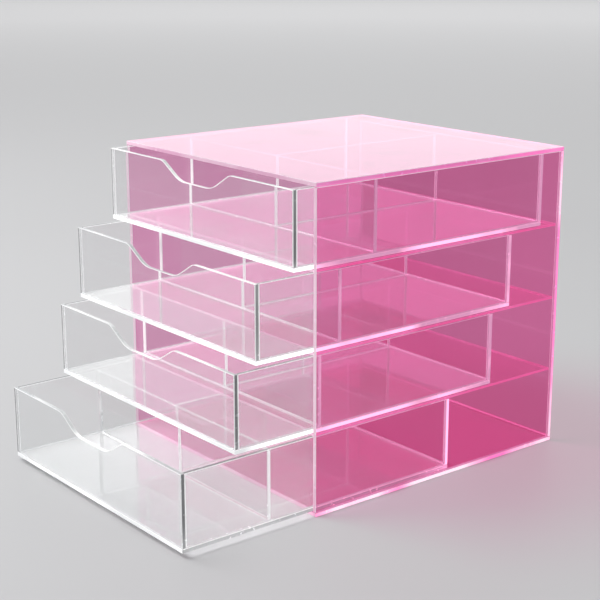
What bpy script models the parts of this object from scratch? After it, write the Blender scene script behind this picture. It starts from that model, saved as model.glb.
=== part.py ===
"""Acrylic organizer: an open-fronted case of tinted sheet with four bays, and a clear drawer in each bay.

Run with: blender --background --python part.py
Metres, +Z up. The front faces -Y. The origin is the centre of the case's underside.
"""

import math

import bmesh
import bpy
from mathutils import Matrix, Vector

MM = 0.001

# Case, outside sizes and sheets
case_width = 236 * MM
case_depth = 247 * MM
case_height = 240 * MM
case_sheet = 3 * MM
shelf_sheet = 2 * MM
drawer_count = 4

# How far each drawer stands out of the case, top drawer first
drawer_pulls = (17 * MM, 49 * MM, 67 * MM, 111 * MM)

# Drawer sheets and its inner layout
drawer_sheet = 3 * MM
divider_sheet = 3 * MM
front_compartment = 69.5 * MM
divider_drop = 1 * MM

# Finger notch in the drawer front's top edge
notch_width = 84 * MM
notch_floor_width = 40 * MM
notch_depth = 13 * MM
notch_shoulder_radius = 12 * MM
notch_floor_radius = 26 * MM
notch_arc_steps = 6

# Gaps: the glue line between cemented sheets, and the room a drawer runs in
glue_line = 0.3 * MM
run_gap = 0.3 * MM
head_clearance = 0.6 * MM
side_clearance = 0.7 * MM
stop_gap = 0.5 * MM

# Small flat that polishing leaves along every edge of a sheet
edge_arris = 0.25 * MM
weld_distance = 0.01 * MM

# What follows from the sizes above
bay_width = case_width - 2 * case_sheet
wall_height = case_height - 2 * case_sheet - 2 * glue_line
bay_height = (case_height - 2 * case_sheet - (drawer_count - 1) * shelf_sheet) / drawer_count
bay_pitch = bay_height + shelf_sheet
drawer_width = bay_width - 2 * side_clearance
drawer_depth = case_depth - case_sheet - stop_gap
drawer_height = bay_height - run_gap - head_clearance
drawer_wall_base = drawer_sheet + glue_line
drawer_wall_height = drawer_height - drawer_wall_base
drawer_inner_width = drawer_width - 2 * drawer_sheet - 2 * glue_line
drawer_inner_depth = drawer_depth - 2 * drawer_sheet - 2 * glue_line

PINK_ACRYLIC = {"name": "pink_acrylic", "colour": (0.78, 0.20, 0.46, 1.0), "roughness": 0.04, "metallic": 0.0}
CLEAR_ACRYLIC = {"name": "clear_acrylic", "colour": (0.90, 0.93, 0.93, 1.0), "roughness": 0.03, "metallic": 0.0}


def clear_scene():
    for old in list(bpy.data.objects):
        bpy.data.objects.remove(old, do_unlink=True)


def new_collection(name):
    collection = bpy.data.collections.new(name)
    bpy.context.scene.collection.children.link(collection)
    return collection


def acrylic(finish):
    material = bpy.data.materials.new(finish["name"])
    material.use_nodes = True
    shader = material.node_tree.nodes["Principled BSDF"]
    shader.inputs["Base Color"].default_value = finish["colour"]
    shader.inputs["Roughness"].default_value = finish["roughness"]
    shader.inputs["Metallic"].default_value = finish["metallic"]
    material.diffuse_color = finish["colour"]
    return material


def polish_edges(piece):
    """Break the sheet's sharp edges with one narrow flat."""
    bevel = piece.modifiers.new("edge_arris", "BEVEL")
    bevel.width = edge_arris
    bevel.segments = 1
    bevel.limit_method = "ANGLE"
    bevel.angle_limit = math.radians(60)


def sheet(name, size, low_corner, material, collection, parent=None):
    """A flat rectangular sheet, cut to size and set with its low corner at the place given."""
    mesh = bpy.data.meshes.new(name)
    shape = bmesh.new()
    bmesh.ops.create_cube(shape, size=1)
    bmesh.ops.transform(shape, matrix=Matrix.Diagonal((*size, 1)), verts=shape.verts)
    shape.to_mesh(mesh)
    shape.free()
    piece = bpy.data.objects.new(name, mesh)
    piece.location = Vector(low_corner) + Vector(size) / 2
    piece.parent = parent
    mesh.materials.append(material)
    collection.objects.link(piece)
    polish_edges(piece)
    return piece


def rounded_corner(before, corner, after, radius):
    """Points of the arc that rounds a corner of an outline."""
    to_before = (before - corner).normalized()
    to_after = (after - corner).normalized()
    half_angle = to_before.angle(to_after) / 2
    reach = radius / math.tan(half_angle)
    start = corner + to_before * reach
    finish = corner + to_after * reach
    centre = corner + (to_before + to_after).normalized() * radius / math.sin(half_angle)
    points = []
    for step in range(notch_arc_steps + 1):
        along = start.lerp(finish, step / notch_arc_steps)
        points.append(centre + (along - centre).normalized() * radius)
    return points


def drawer_front_outline():
    """The front sheet's outline, seen from the front, with its finger notch rounded at four corners."""
    half_width = drawer_width / 2
    top = drawer_wall_height
    right_shoulder = Vector((notch_width / 2, top))
    right_floor = Vector((notch_floor_width / 2, top - notch_depth))
    left_floor = Vector((-notch_floor_width / 2, top - notch_depth))
    left_shoulder = Vector((-notch_width / 2, top))
    right_top = Vector((half_width, top))
    left_top = Vector((-half_width, top))
    outline = [Vector((-half_width, 0)), Vector((half_width, 0)), right_top]
    outline += rounded_corner(right_top, right_shoulder, right_floor, notch_shoulder_radius)
    outline += rounded_corner(right_shoulder, right_floor, left_floor, notch_floor_radius)
    outline += rounded_corner(right_floor, left_floor, left_shoulder, notch_floor_radius)
    outline += rounded_corner(left_floor, left_shoulder, left_top, notch_shoulder_radius)
    outline.append(left_top)
    return outline


def notched_front(name, material, collection, parent):
    """The drawer front: a flat outline as thick as the drawer's sheet, stood upright."""
    outline = drawer_front_outline()
    curve = bpy.data.curves.new(name, "CURVE")
    curve.dimensions = "2D"
    curve.fill_mode = "BOTH"
    curve.extrude = drawer_sheet / 2
    spline = curve.splines.new("POLY")
    spline.points.add(len(outline) - 1)
    for spot, point in zip(spline.points, outline):
        spot.co = (point.x, point.y, 0, 1)
    spline.use_cyclic_u = True
    piece = bpy.data.objects.new(name, curve)
    piece.location = (0, drawer_sheet / 2, drawer_wall_base)
    piece.rotation_euler = (math.radians(90), 0, 0)
    piece.parent = parent
    curve.materials.append(material)
    collection.objects.link(piece)
    weld = piece.modifiers.new("joined_caps", "WELD")
    weld.merge_threshold = weld_distance
    polish_edges(piece)
    return piece


def build_case(material, collection):
    """Base and lid run out over the walls; the back stands between them and the sides butt against it."""
    left = -case_width / 2
    front = -case_depth / 2
    wall_base = case_sheet + glue_line
    side_depth = case_depth - case_sheet - glue_line
    plate = (case_width, case_depth, case_sheet)
    side = (case_sheet, side_depth, wall_height)
    right_side_left = case_width / 2 - case_sheet
    sheet("case_base", plate, (left, front, 0), material, collection)
    sheet("case_top", plate, (left, front, case_height - case_sheet), material, collection)
    sheet("case_left_side", side, (left, front, wall_base), material, collection)
    sheet("case_right_side", side, (right_side_left, front, wall_base), material, collection)
    back = (case_width, case_sheet, wall_height)
    sheet("case_back", back, (left, case_depth / 2 - case_sheet, wall_base), material, collection)
    shelf = (bay_width - 2 * glue_line, side_depth - glue_line, shelf_sheet)
    shelf_left = left + case_sheet + glue_line
    for level in range(1, drawer_count):
        height = case_sheet + level * bay_pitch - shelf_sheet
        place = (shelf_left, front, height)
        sheet(f"case_shelf_{drawer_count - level}", shelf, place, material, collection)


def build_drawer(number, material, collection):
    """A drawer, built from its own slide point: the middle of its front edge, on its underside."""
    name = f"drawer_{number}"
    bay_floor = case_sheet + (drawer_count - number) * bay_pitch
    slide = bpy.data.objects.new(f"{name}_slide", None)
    slide.location = (0, -case_depth / 2 - drawer_pulls[number - 1], bay_floor + run_gap)
    collection.objects.link(slide)

    left = -drawer_width / 2
    inner_left = left + drawer_sheet + glue_line
    inner_front = drawer_sheet + glue_line
    floor = (drawer_width, drawer_depth, drawer_sheet)
    sheet(f"{name}_floor", floor, (left, 0, 0), material, collection, slide)
    notched_front(f"{name}_front", material, collection, slide)
    back = (drawer_width, drawer_sheet, drawer_wall_height)
    back_place = (left, drawer_depth - drawer_sheet, drawer_wall_base)
    sheet(f"{name}_back", back, back_place, material, collection, slide)

    side = (drawer_sheet, drawer_inner_depth, drawer_wall_height)
    left_place = (left, inner_front, drawer_wall_base)
    right_place = (drawer_width / 2 - drawer_sheet, inner_front, drawer_wall_base)
    sheet(f"{name}_left_side", side, left_place, material, collection, slide)
    sheet(f"{name}_right_side", side, right_place, material, collection, slide)

    divider_height = drawer_wall_height - divider_drop
    cross = (drawer_inner_width, divider_sheet, divider_height)
    cross_front = drawer_sheet + front_compartment
    cross_place = (inner_left, cross_front, drawer_wall_base)
    sheet(f"{name}_cross_divider", cross, cross_place, material, collection, slide)
    long_front = cross_front + divider_sheet + glue_line
    long_back = drawer_depth - drawer_sheet - glue_line
    long = (divider_sheet, long_back - long_front, divider_height)
    long_place = (-divider_sheet / 2, long_front, drawer_wall_base)
    sheet(f"{name}_long_divider", long, long_place, material, collection, slide)


clear_scene()
organizer = new_collection("acrylic_organizer")
build_case(acrylic(PINK_ACRYLIC), organizer)
clear_acrylic = acrylic(CLEAR_ACRYLIC)
for drawer_number in range(1, drawer_count + 1):
    build_drawer(drawer_number, clear_acrylic, organizer)
bpy.context.view_layer.update()
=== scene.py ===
import math

import bmesh
import bpy
from mathutils import Matrix, Vector


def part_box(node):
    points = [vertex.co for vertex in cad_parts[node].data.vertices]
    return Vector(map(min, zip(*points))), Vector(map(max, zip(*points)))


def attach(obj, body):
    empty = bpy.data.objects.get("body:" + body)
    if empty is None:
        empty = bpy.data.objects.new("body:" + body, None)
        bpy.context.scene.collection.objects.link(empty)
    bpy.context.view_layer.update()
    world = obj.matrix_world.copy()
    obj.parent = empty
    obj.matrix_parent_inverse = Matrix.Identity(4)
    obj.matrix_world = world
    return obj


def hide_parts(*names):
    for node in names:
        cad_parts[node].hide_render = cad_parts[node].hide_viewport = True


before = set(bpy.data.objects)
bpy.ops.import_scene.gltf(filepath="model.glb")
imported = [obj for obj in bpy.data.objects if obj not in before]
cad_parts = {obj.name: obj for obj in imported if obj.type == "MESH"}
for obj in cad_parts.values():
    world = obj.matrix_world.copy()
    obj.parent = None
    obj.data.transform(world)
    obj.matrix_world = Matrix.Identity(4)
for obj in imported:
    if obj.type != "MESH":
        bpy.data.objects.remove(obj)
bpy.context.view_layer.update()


# Camera
# It stands off the organizer's right front corner, a little above the lid, and looks down at the case. Its
# place and lens are those at which the case's six visible corners fall where the photograph has them.
MM = 0.001
camera_place = Vector((0.8333, -0.7133, 0.4101))
camera_turn = math.radians(51.17)
camera_tilt = math.radians(15.13)
camera_lens = 84.9
nearest_seen = 10 * MM
farthest_seen = 60

camera = bpy.data.objects.new("camera", bpy.data.cameras.new("camera"))
camera.location = camera_place
camera.rotation_euler = (math.pi / 2 - camera_tilt, 0, camera_turn)
camera.data.lens = camera_lens
camera.data.clip_start = nearest_seen
camera.data.clip_end = farthest_seen
bpy.context.scene.collection.objects.link(camera)
bpy.context.scene.camera = camera
bpy.context.scene.view_settings.view_transform = "Standard"


# Table and studio light
# A plain pale table runs out of sight, and the room above it is the same pale grey wherever it is seen, so
# that the white cut edges of the clear drawers stand out. Two soft boxes and the room light it evenly.
table_reach = 14
table_drop = 0.2 * MM
table_grey = (0.55, 0.55, 0.56, 1)
far_grey = (0.80, 0.80, 0.81, 1)
far_start = 0.9
far_end = 5.0
room_grey = (0.62, 0.62, 0.63, 1)
room_light = (1.0, 1.0, 1.0, 1)
room_strength = 0.62
# Where a mix node keeps its two colours and their blend, among the sockets of its other kinds
MIX_FIRST, MIX_SECOND, MIX_RESULT = 6, 7, 2


def node(tree, kind, **settings):
    """A new shader node with its plain settings."""
    made = tree.nodes.new(kind)
    for name, value in settings.items():
        setattr(made, name, value)
    return made


def put(made, **values):
    """Sets a node's inputs, named with underscores for spaces."""
    for name, value in values.items():
        made.inputs[name.replace("_", " ")].default_value = value


def reckon(tree, operation, first, second):
    """A sum or comparison of two values, each a number or another node's output."""
    made = node(tree, "ShaderNodeMath", operation=operation)
    for socket, value in zip(made.inputs, (first, second)):
        if isinstance(value, bpy.types.NodeSocket):
            tree.links.new(value, socket)
        else:
            socket.default_value = value
    return made.outputs["Value"]


def stretched(tree, value, **limits):
    """A value brought from one range to another, within its limits."""
    made = node(tree, "ShaderNodeMapRange")
    put(made, **limits)
    tree.links.new(value, made.inputs["Value"])
    return made.outputs["Result"]


def colour_mix(tree, share, first, second):
    """The first colour, with a share of the second that another node gives."""
    made = node(tree, "ShaderNodeMix", data_type="RGBA")
    made.inputs[MIX_FIRST].default_value = first
    made.inputs[MIX_SECOND].default_value = second
    tree.links.new(share, made.inputs["Factor"])
    return made.outputs[MIX_RESULT]


def surface_mix(tree, share, under, over):
    """One surface with a share of another over it. The share is a number or another node's output."""
    made = node(tree, "ShaderNodeMixShader")
    share_input, under_input, over_input = made.inputs
    if isinstance(share, bpy.types.NodeSocket):
        tree.links.new(share, share_input)
    else:
        share_input.default_value = share
    tree.links.new(under, under_input)
    tree.links.new(over, over_input)
    return made.outputs["Shader"]


def empty_material(name):
    """A material with only an output, ready for its nodes."""
    material = bpy.data.materials.new(name)
    material.use_nodes = True
    material.node_tree.nodes.clear()
    material.cycles.emission_sampling = "NONE"
    output = node(material.node_tree, "ShaderNodeOutputMaterial")
    return material, material.node_tree, output


def new_piece(name, shape, *materials):
    """A mesh object from a bmesh, with its materials in order."""
    mesh = bpy.data.meshes.new(name)
    shape.to_mesh(mesh)
    shape.free()
    for material in materials:
        mesh.materials.append(material)
    piece = bpy.data.objects.new(name, mesh)
    bpy.context.scene.collection.objects.link(piece)
    return piece


def table_material():
    """Matt pale board, a little paler far off, where the room alone lights it."""
    material, tree, output = empty_material("table_top")
    place = node(tree, "ShaderNodeTexCoord")
    away = node(tree, "ShaderNodeVectorMath", operation="LENGTH")
    tree.links.new(place.outputs["Object"], away.inputs["Vector"])
    fade = stretched(tree, away.outputs["Value"], From_Min=far_start, From_Max=far_end)
    shader = node(tree, "ShaderNodeBsdfPrincipled")
    put(shader, Roughness=0.5, IOR=1.3)
    tree.links.new(colour_mix(tree, fade, table_grey, far_grey), shader.inputs["Base Color"])
    tree.links.new(shader.outputs["BSDF"], output.inputs["Surface"])
    return material


def soft_box(name, place, aim, width, height, power):
    """A rectangular lamp that the camera doesn't see, turned to the point it lights."""
    light = bpy.data.lights.new(name, "AREA")
    light.shape = "RECTANGLE"
    light.size = width
    light.size_y = height
    light.energy = power
    lamp = bpy.data.objects.new(name, light)
    lamp.location = place
    lamp.rotation_euler = (Vector(aim) - Vector(place)).to_track_quat("-Z", "Y").to_euler()
    lamp.visible_camera = False
    bpy.context.scene.collection.objects.link(lamp)


table_shape = bmesh.new()
bmesh.ops.create_grid(table_shape, x_segments=1, y_segments=1, size=table_reach)
table = new_piece("table_top", table_shape, table_material())
table.location.z = -table_drop

soft_box("box_over_left", place=(-0.9, -0.9, 1.7), aim=(0, 0, 0.1), width=1.2, height=1.2, power=25)
soft_box("box_behind", place=(-4.65, 4.05, 2.37), aim=(0, 0, 0.2), width=5.7, height=3.0, power=42)

world = bpy.data.worlds.new("room")
bpy.context.scene.world = world
world.use_nodes = True
room = world.node_tree
room.nodes.clear()
seen = node(room, "ShaderNodeBackground")
put(seen, Color=room_grey, Strength=1.0)
cast = node(room, "ShaderNodeBackground")
put(cast, Color=room_light, Strength=room_strength)
room_ray = node(room, "ShaderNodeLightPath").outputs
straight_or_bent = reckon(room, "MAXIMUM", room_ray["Is Camera Ray"], room_ray["Is Transmission Ray"])
any_seen = reckon(room, "MAXIMUM", straight_or_bent, room_ray["Is Glossy Ray"])
room_mix = surface_mix(room, any_seen, cast.outputs["Background"], seen.outputs["Background"])
room_out = node(room, "ShaderNodeOutputWorld")
room.links.new(room_mix, room_out.inputs["Surface"])


# Case sheets
# The case is cut from transparent pink cast acrylic, 3 mm for its walls and 2 mm for its shelves, and its
# sheets are cemented edge to face. They are laser cut, so their edges come out polished and a little
# rounded. Their cuts carry a painted pink glow and painted highlights, in lit and shaded copies.
edge_round = 0.35 * MM
edge_steps = 2
wave_depth = 0.1 * MM
rib_depth = 0.04 * MM
acrylic_ior = 1.49
both_faces_ior = 1.65
scuff_stretch = (520.0, 16.0, 60.0)
# How deep a ray may go, straight through sheets or bent by them, before it ends in a painted glow that
# stands in for the room's light
deepest_clear = 6.5
deepest_bent = 10.5
pink_tint = (0.975, 0.43, 0.69, 1)
pink_floor_tint = (0.96, 0.28, 0.60, 1)
# The colours of that painted glow, for the pink walls and the pink floors
pink_end_glow = (0.72, 0.36, 0.53, 1)
pink_floor_end_glow = (0.70, 0.32, 0.50, 1)
pink_glow = (0.95, 0.22, 0.56, 1)

# The axes, which way along them the front and the top lie, and the slots of a sheet's materials
ACROSS, ALONG, UPRIGHT = 0, 1, 2
FRONT_OR_TOP = {ALONG: -1, UPRIGHT: 1}
BROAD_FACE, FRONT_CUT, REAR_OR_UNDER_CUT, SIDE_CUT, TOP_CUT, ARRIS = range(6)
# How far a face's normal points out of the sheet on a broad face and on an arris, and down on an underside
broad_from = 0.95
arris_from = 0.05
faces_down_from = -0.3


def own_place(tree):
    """The piece's own coordinates, for its noise."""
    return node(tree, "ShaderNodeTexCoord").outputs["Object"]


def noise(tree, place, **values):
    made = node(tree, "ShaderNodeTexNoise")
    put(made, **values)
    tree.links.new(place, made.inputs["Vector"])
    return made.outputs["Fac"]


def bumped(tree, height, strength, depth):
    """A surface made uneven by noise."""
    made = node(tree, "ShaderNodeBump")
    put(made, Strength=strength, Distance=depth)
    tree.links.new(height, made.inputs["Height"])
    return made.outputs["Normal"]


def cast_wave(tree, place):
    """The faint unevenness of a cast sheet, which only its reflections show."""
    wave = noise(tree, place, Scale=20.0, Detail=2.0, Roughness=0.4)
    return bumped(tree, wave, 1.0, wave_depth)


def rubbed_roughness(tree, place, low, high):
    """Roughness that rises in soft patches where hands and cloths have rubbed the sheet."""
    patches = noise(tree, place, Scale=35.0, Detail=6.0, Roughness=0.6)
    return stretched(tree, patches, From_Min=0.4, From_Max=0.75, To_Min=low, To_Max=high)


def slide_haze(tree, place, most, least):
    """What a floor still lets through where things have slid on it, in fine scuffs from front to rear."""
    stretch = node(tree, "ShaderNodeMapping")
    put(stretch, Scale=scuff_stretch)
    tree.links.new(place, stretch.inputs["Vector"])
    scuffs = noise(tree, stretch.outputs["Vector"], Scale=1.0, Detail=4.0, Roughness=0.5)
    return stretched(tree, scuffs, From_Min=0.35, From_Max=0.75, To_Min=most, To_Max=least)


def tint_drift(tree, place, tint, darker):
    """The dye's slight drift in strength over a sheet."""
    drift = noise(tree, place, Scale=6.0, Detail=1.0)
    return colour_mix(tree, drift, tint, [part * darker for part in tint[:3]] + [1])


def one_face_tint(tint):
    """What each of a sheet's two faces takes of its tint."""
    return [math.sqrt(part) for part in tint[:3]] + [1]


def end_in_light(tree, ray, surface, end_glow_colour):
    """A sheet's surface, which past too many sheets ends in a painted glow for the room's light."""
    clear = reckon(tree, "GREATER_THAN", ray["Transparent Depth"], deepest_clear)
    bent = reckon(tree, "GREATER_THAN", ray["Ray Depth"], deepest_bent)
    light = node(tree, "ShaderNodeEmission")
    put(light, Color=end_glow_colour, Strength=1.0)
    return surface_mix(tree, reckon(tree, "MAXIMUM", clear, bent), surface, light.outputs["Emission"])


def bending_sheet(name, tint, end_glow_colour, rubbed=(0.0, 0.05), darker=0.97, lets_through=None):
    """Acrylic that bends what is behind it, and that lets lamps through with its own tint."""
    material, tree, output = empty_material(name)
    place = own_place(tree)
    ray = node(tree, "ShaderNodeLightPath").outputs
    shader = node(tree, "ShaderNodeBsdfPrincipled")
    put(shader, IOR=acrylic_ior, Transmission_Weight=1.0)
    if lets_through:
        haze = slide_haze(tree, place, *lets_through)
        tree.links.new(haze, shader.inputs["Transmission Weight"])
    tree.links.new(tint_drift(tree, place, tint, darker), shader.inputs["Base Color"])
    tree.links.new(rubbed_roughness(tree, place, *rubbed), shader.inputs["Roughness"])
    tree.links.new(cast_wave(tree, place), shader.inputs["Normal"])
    through = node(tree, "ShaderNodeBsdfTransparent")
    put(through, Color=one_face_tint(tint))
    body = surface_mix(tree, ray["Is Shadow Ray"], shader.outputs["BSDF"], through.outputs["BSDF"])
    tree.links.new(end_in_light(tree, ray, body, end_glow_colour), output.inputs["Surface"])
    return material


def straight_sheet(name, tint, end_glow_colour, rubbed=(0.02, 0.08), darker=0.97, dye=None, dye_share=0.0):
    """Acrylic whose far side shows straight through it, with the sheen of both faces on its near one.

    A share of the light that falls on it can come back in the dye's own colour.
    """
    material, tree, output = empty_material(name)
    place = own_place(tree)
    ray = node(tree, "ShaderNodeLightPath").outputs
    through = node(tree, "ShaderNodeBsdfTransparent")
    tree.links.new(tint_drift(tree, place, one_face_tint(tint), darker), through.inputs["Color"])
    body = through.outputs["BSDF"]
    if dye:
        lit_dye = node(tree, "ShaderNodeBsdfDiffuse")
        put(lit_dye, Color=dye)
        body = surface_mix(tree, dye_share, body, lit_dye.outputs["BSDF"])
    sheen = node(tree, "ShaderNodeBsdfAnisotropic")
    tree.links.new(rubbed_roughness(tree, place, *rubbed), sheen.inputs["Roughness"])
    tree.links.new(cast_wave(tree, place), sheen.inputs["Normal"])
    fresnel = node(tree, "ShaderNodeFresnel")
    put(fresnel, IOR=both_faces_ior)
    side = node(tree, "ShaderNodeNewGeometry")
    near_face = reckon(tree, "SUBTRACT", 1.0, side.outputs["Backfacing"])
    share = reckon(tree, "MULTIPLY", fresnel.outputs["Fac"], near_face)
    surface = surface_mix(tree, share, body, sheen.outputs["BSDF"])
    tree.links.new(end_in_light(tree, ray, surface, end_glow_colour), output.inputs["Surface"])
    return material


def cut_with_painted_glow(name, dull, bright, see_through=0.3, light=0.1):
    """A laser-cut edge, faintly ribbed by the cut, with a painted glow and painted highlights in bright
    and dull stretches.
    """
    material, tree, output = empty_material(name)
    place = own_place(tree)
    ribs = noise(tree, place, Scale=260.0, Detail=3.0)
    runs = noise(tree, place, Scale=14.0, Detail=2.0)
    lit = stretched(tree, runs, From_Min=0.42, From_Max=0.58)
    colour = colour_mix(tree, lit, dull, bright)
    rough = stretched(tree, ribs, From_Min=0.3, From_Max=0.7, To_Min=0.12, To_Max=0.3)
    shader = node(tree, "ShaderNodeBsdfPrincipled")
    # The emission is a painted glow, in the same colour as the painted bright and dull stretches
    put(shader, IOR=acrylic_ior, Transmission_Weight=see_through, Emission_Strength=light)
    tree.links.new(colour, shader.inputs["Base Color"])
    tree.links.new(colour, shader.inputs["Emission Color"])
    tree.links.new(rough, shader.inputs["Roughness"])
    tree.links.new(bumped(tree, ribs, 0.5, rib_depth), shader.inputs["Normal"])
    tree.links.new(shader.outputs["BSDF"], output.inputs["Surface"])
    return material


def mark_cuts(shape, thin):
    """Gives each face of a sheet the slot of its material. An arris that faces down goes with its cut."""
    for face in shape.faces:
        face.normal_update()
        out_of_sheet = abs(face.normal[thin])
        turned = [0 if axis == thin else abs(face.normal[axis]) for axis in range(3)]
        axis = turned.index(max(turned))
        if out_of_sheet > broad_from:
            face.material_index = BROAD_FACE
        # Only arrises facing up or sideways take an arris's painted highlight; those facing down go with
        # their cut.
        elif out_of_sheet > arris_from and face.normal.z > faces_down_from:
            face.material_index = ARRIS
        elif axis == ACROSS:
            face.material_index = SIDE_CUT
        elif face.normal[axis] * FRONT_OR_TOP[axis] > 0:
            face.material_index = FRONT_CUT if axis == ALONG else TOP_CUT
        else:
            face.material_index = REAR_OR_UNDER_CUT


def rounded_slab(low, high, thin):
    """A sheet's box, its edges polished and slightly rounded."""
    shape = bmesh.new()
    bmesh.ops.create_cube(shape, size=1)
    bmesh.ops.transform(shape, matrix=Matrix.Diagonal((*(high - low), 1)), verts=shape.verts)
    bmesh.ops.translate(shape, vec=(low + high) / 2, verts=shape.verts)
    bmesh.ops.bevel(
        shape, geom=shape.edges[:], offset=edge_round, segments=edge_steps, profile=0.5, affect="EDGES"
    )
    mark_cuts(shape, thin)
    return shape


def dress(piece, node_name, body, casts=False, shades=False):
    """Puts a sheet in its node's place, on its body. Inner sheets leave the lamps' light alone."""
    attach(piece, body)
    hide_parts(node_name)
    piece.visible_shadow = casts
    piece.visible_diffuse = shades


pink_bending = bending_sheet("pink_bending_sheet", pink_tint, pink_end_glow)
pink_straight = straight_sheet("pink_sheet", pink_tint, pink_end_glow)
pink_floor = straight_sheet(
    "pink_floor_sheet", pink_floor_tint, pink_floor_end_glow, darker=0.95, dye=pink_glow, dye_share=0.08
)
# Lit and shaded copies of one polished pink edge, each with a painted glow and painted highlights; the
# arrises carry a painted highlight where their rounding would catch the light.
pale_cut = cut_with_painted_glow(
    "pink_pale_cut", dull=(0.76, 0.42, 0.59, 1), bright=(0.92, 0.66, 0.79, 1), see_through=0.15, light=0.2
)
glow_cut = cut_with_painted_glow("pink_glow_cut", dull=pink_glow, bright=(0.98, 0.36, 0.70, 1), light=0.38)
quiet_cut = cut_with_painted_glow(
    "pink_quiet_cut", dull=(0.80, 0.22, 0.50, 1), bright=(0.95, 0.50, 0.74, 1), see_through=0.4, light=0.08
)
flash_cut = cut_with_painted_glow("pink_flash_cut", dull=pink_glow, bright=(1.0, 0.90, 0.97, 1), light=0.6)
pink_arris = cut_with_painted_glow("pink_arris", dull=(1.0, 0.76, 0.90, 1), bright=(1.0, 0.92, 0.97, 1), light=0.2)
glow_arris = cut_with_painted_glow(
    "pink_glow_arris", dull=(0.95, 0.30, 0.62, 1), bright=(1.0, 0.60, 0.82, 1), light=0.15
)

# Each set: the front cut, the rear and under cuts, the side cuts, the top cut and the arrises. Each side
# takes the lit or shaded copy whose painted light suits how the lamps fall on it.
floor_cuts = (pale_cut, quiet_cut, flash_cut, quiet_cut, glow_arris)
side_cuts = (pale_cut, quiet_cut, quiet_cut, quiet_cut, pink_arris)
back_cuts = (quiet_cut, quiet_cut, flash_cut, quiet_cut, glow_arris)
lid_cuts = (pale_cut, glow_cut, glow_cut, glow_cut, pink_arris)
case_sheets = {
    "case_base": (UPRIGHT, pink_floor, floor_cuts),
    "case_left_side": (ACROSS, pink_bending, side_cuts),
    "case_right_side": (ACROSS, pink_bending, side_cuts),
    "case_back": (ALONG, pink_straight, back_cuts),
    "case_shelf_3": (UPRIGHT, pink_floor, floor_cuts),
    "case_shelf_2": (UPRIGHT, pink_floor, floor_cuts),
    "case_shelf_1": (UPRIGHT, pink_floor, floor_cuts),
    "case_top": (UPRIGHT, pink_bending, lid_cuts),
}

for sheet_name, (thin_axis, face_material, cuts) in case_sheets.items():
    slab = rounded_slab(*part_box(sheet_name), thin_axis)
    made = new_piece(f"{sheet_name}_sheet", slab, face_material, *cuts)
    on_table = sheet_name == "case_base"
    outer = not on_table and "shelf" not in sheet_name
    dress(made, sheet_name, "case", casts=outer, shades=on_table)


# Drawers
# Each drawer is a box of clear, colourless 3 mm sheet: a floor under four walls, a divider across it and
# one down the middle of its rear part. It is cemented like the case, and slides on bare sheet. All its
# edges are polished, and their painted glow and painted highlights read white against the pink case.
drawer_numbers = (1, 2, 3, 4)
lowest_drawer = 4
clear_tint = (0.965, 0.972, 0.972, 1)
# The painted glow that a clear sheet ends in, standing in for the room's light
clear_end_glow = (0.60, 0.60, 0.60, 1)
clear_darker = 0.985
floor_rub = (0.01, 0.12)
floor_lets_through = (0.88, 0.79)
white = (1.0, 1.0, 1.0, 1)

clear_bending = bending_sheet("clear_bending_sheet", clear_tint, clear_end_glow, darker=clear_darker)
clear_floor = bending_sheet(
    "clear_floor_sheet", clear_tint, clear_end_glow, floor_rub, clear_darker, lets_through=floor_lets_through
)
clear_straight = straight_sheet("clear_sheet", clear_tint, clear_end_glow, darker=clear_darker)
# Lit and shaded copies of one clear polished edge, each with a painted glow and painted highlights: the
# darkest copy is painted shade, the brightest painted highlight, and the divider's end copy paints a
# highlight there.
lit_cut = cut_with_painted_glow("clear_lit_cut", dull=(0.78, 0.79, 0.80, 1), bright=white, see_through=0.1, light=0.42)
bright_cut = cut_with_painted_glow(
    "clear_bright_cut", dull=(0.42, 0.43, 0.44, 1), bright=white, see_through=0.1, light=1.2
)
lit_end_cut = cut_with_painted_glow(
    "clear_lit_end_cut", dull=(0.50, 0.51, 0.52, 1), bright=white, see_through=0.25, light=0.5
)
soft_cut = cut_with_painted_glow(
    "clear_soft_cut", dull=(0.78, 0.80, 0.81, 1), bright=(0.95, 0.96, 0.97, 1), see_through=0.6, light=0.1
)
clear_arris = cut_with_painted_glow("clear_arris", dull=(0.92, 0.93, 0.94, 1), bright=white, see_through=0.3, light=0.3)
shaded_cut = cut_with_painted_glow(
    "clear_shaded_cut", dull=(0.34, 0.35, 0.36, 1), bright=(0.62, 0.64, 0.65, 1), see_through=0.3, light=0.02
)

# A wall's top cut takes the painted-shade copy, and its other cuts the softly lit one
wall_cuts = (soft_cut, soft_cut, soft_cut, shaded_cut, clear_arris)
drawer_sheets = {
    "floor": (UPRIGHT, clear_floor, (lit_cut, lit_cut, bright_cut, lit_cut, clear_arris)),
    "back": (ALONG, clear_straight, (soft_cut, soft_cut, bright_cut, soft_cut, clear_arris)),
    "left_side": (ACROSS, clear_bending, wall_cuts),
    "right_side": (ACROSS, clear_bending, wall_cuts),
    "cross_divider": (ALONG, clear_straight, (soft_cut, soft_cut, lit_end_cut, soft_cut, soft_cut)),
    "long_divider": (ACROSS, clear_straight, (soft_cut, soft_cut, soft_cut, soft_cut, clear_arris)),
}
# The lowest floor's side cuts take the dimmer lit copy instead of the painted highlight
lowest_floor = (UPRIGHT, clear_floor, (lit_cut, lit_cut, soft_cut, lit_cut, clear_arris))

for number in drawer_numbers:
    for part, dressing in drawer_sheets.items():
        node_name = f"drawer_{number}_{part}"
        on_table = number == lowest_drawer and part == "floor"
        thin_axis, face_material, cuts = lowest_floor if on_table else dressing
        slab = rounded_slab(*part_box(node_name), thin_axis)
        made = new_piece(f"{node_name}_sheet", slab, face_material, *cuts)
        dress(made, node_name, f"drawer_{number}", casts=on_table, shades=on_table)


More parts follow.
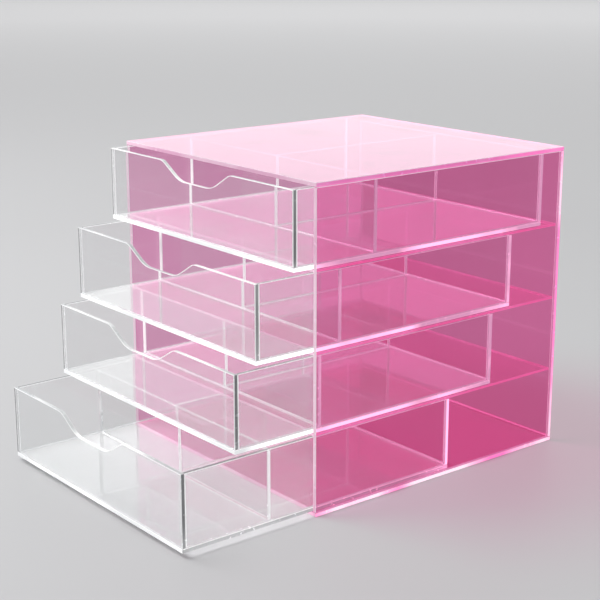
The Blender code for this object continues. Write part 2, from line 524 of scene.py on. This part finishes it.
# Drawer fronts
# The front is the same clear sheet, cut with a wide finger notch in its top edge. The notch runs down from
# two rounded shoulders to a shallow floor, and its whole edge is polished, because fingers pull there.
notch_width = 84 * MM
notch_floor_width = 40 * MM
notch_depth = 13 * MM
notch_shoulder_radius = 12 * MM
notch_floor_radius = 26 * MM
notch_arc_steps = 16
sharp_from = math.radians(60)

# The notch's edge carries a painted glow and painted highlights
notch_cut = cut_with_painted_glow(
    "clear_notch_cut", dull=(0.50, 0.52, 0.53, 1), bright=white, see_through=0.4, light=0.4
)
# The front's end cuts take the painted-shade copy, and its notch the painted-highlight one
front_cuts = (soft_cut, soft_cut, shaded_cut, notch_cut, clear_arris)


def rounded_corner(before, corner, after, radius):
    """Points of the arc that rounds a corner of an outline."""
    to_before = (before - corner).normalized()
    to_after = (after - corner).normalized()
    half_angle = to_before.angle(to_after) / 2
    reach = radius / math.tan(half_angle)
    start = corner + to_before * reach
    finish = corner + to_after * reach
    centre = corner + (to_before + to_after).normalized() * radius / math.sin(half_angle)
    points = []
    for step in range(notch_arc_steps + 1):
        along = start.lerp(finish, step / notch_arc_steps)
        points.append(centre + (along - centre).normalized() * radius)
    return points


def notched_outline(low, high):
    """The front's outline in X and Z, its notch rounded at four corners."""
    middle = (low.x + high.x) / 2
    top = high.z
    shoulders = [Vector((middle + side * notch_width / 2, top)) for side in (1, -1)]
    floors = [Vector((middle + side * notch_floor_width / 2, top - notch_depth)) for side in (1, -1)]
    right_top = Vector((high.x, top))
    left_top = Vector((low.x, top))
    outline = [Vector((low.x, low.z)), Vector((high.x, low.z)), right_top]
    outline += rounded_corner(right_top, shoulders[0], floors[0], notch_shoulder_radius)
    outline += rounded_corner(shoulders[0], floors[0], floors[1], notch_floor_radius)
    outline += rounded_corner(floors[0], floors[1], shoulders[1], notch_floor_radius)
    outline += rounded_corner(floors[1], shoulders[1], left_top, notch_shoulder_radius)
    outline.append(left_top)
    return outline


def notched_slab(low, high):
    """The front sheet: its outline, as thick as its node's box, with polished edges."""
    shape = bmesh.new()
    corners = [shape.verts.new((point.x, low.y, point.y)) for point in notched_outline(low, high)]
    front = shape.faces.new(corners)
    raised = bmesh.ops.extrude_face_region(shape, geom=[front])
    back_corners = [part for part in raised["geom"] if isinstance(part, bmesh.types.BMVert)]
    bmesh.ops.translate(shape, vec=(0, high.y - low.y, 0), verts=back_corners)
    bmesh.ops.recalc_face_normals(shape, faces=shape.faces)
    sharp = [edge for edge in shape.edges if edge.calc_face_angle(0) > sharp_from]
    bmesh.ops.bevel(shape, geom=sharp, offset=edge_round, segments=edge_steps, profile=0.5, affect="EDGES")
    mark_cuts(shape, ALONG)
    for face in shape.faces:
        face.smooth = face.material_index != BROAD_FACE
    return shape


for number in drawer_numbers:
    node_name = f"drawer_{number}_front"
    made = new_piece(f"{node_name}_sheet", notched_slab(*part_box(node_name)), clear_bending, *front_cuts)
    dress(made, node_name, f"drawer_{number}", casts=number == lowest_drawer)


# Cement seams
# Every joint is run with thin solvent cement, which sets as a clear film with a trace of haze and a few
# fine bubbles. It fills the hairline between two sheets and shows as a pale line along each joint, with
# a faint painted glow.
widest_seam = 0.5 * MM
least_overlap = 1 * MM
seam_room = 0.04 * MM
pink_film = (0.94, 0.45, 0.70, 1)
clear_film = (0.95, 0.95, 0.96, 1)
film_ior = 1.45


def cement(name, colour):
    """Set cement, hazier around each of its fine bubbles."""
    material, tree, output = empty_material(name)
    bubbles = node(tree, "ShaderNodeTexVoronoi")
    put(bubbles, Scale=420.0)
    tree.links.new(own_place(tree), bubbles.inputs["Vector"])
    distance = bubbles.outputs["Distance"]
    haze = stretched(tree, distance, From_Min=0.0, From_Max=0.6, To_Min=0.22, To_Max=0.05)
    shader = node(tree, "ShaderNodeBsdfPrincipled")
    put(shader, Base_Color=colour, IOR=film_ior, Transmission_Weight=0.75)
    # A faint painted glow in the film's colour
    put(shader, Emission_Color=colour, Emission_Strength=0.08)
    tree.links.new(haze, shader.inputs["Roughness"])
    tree.links.new(shader.outputs["BSDF"], output.inputs["Surface"])
    return material


def seam_between(one, other):
    """The box of the film between two sheets that lie a hairline apart, or None."""
    for axis in range(3):
        first, second = (one, other) if one[0][axis] < other[0][axis] else (other, one)
        gap = second[0][axis] - first[1][axis]
        if not 0 < gap < widest_seam:
            continue
        low = Vector(map(max, one[0], other[0]))
        high = Vector(map(min, one[1], other[1]))
        if any(high[i] - low[i] < least_overlap for i in range(3) if i != axis):
            continue
        low[axis] = first[1][axis]
        high[axis] = second[0][axis]
        inset = Vector([seam_room if i == axis else edge_round for i in range(3)])
        return low + inset, high - inset
    return None


def add_box(shape, low, high):
    made = bmesh.ops.create_cube(shape, size=1)
    bmesh.ops.transform(shape, matrix=Matrix.Diagonal((*(high - low), 1)), verts=made["verts"])
    bmesh.ops.translate(shape, vec=(low + high) / 2, verts=made["verts"])


def run_seams(name, body, nodes, material):
    """All the seams of one body, as one piece."""
    boxes = [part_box(node_name) for node_name in nodes]
    shape = bmesh.new()
    for index, one in enumerate(boxes):
        for other in boxes[index + 1:]:
            film = seam_between(one, other)
            if film:
                add_box(shape, *film)
    seams = new_piece(name, shape, material)
    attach(seams, body)
    seams.visible_shadow = False
    seams.visible_diffuse = False


run_seams("case_cement", "case", case_sheets, cement("pink_cement", pink_film))
clear_cement = cement("clear_cement", clear_film)
for number in drawer_numbers:
    joined = [f"drawer_{number}_{part}" for part in (*drawer_sheets, "front")]
    run_seams(f"drawer_{number}_cement", f"drawer_{number}", joined, clear_cement)
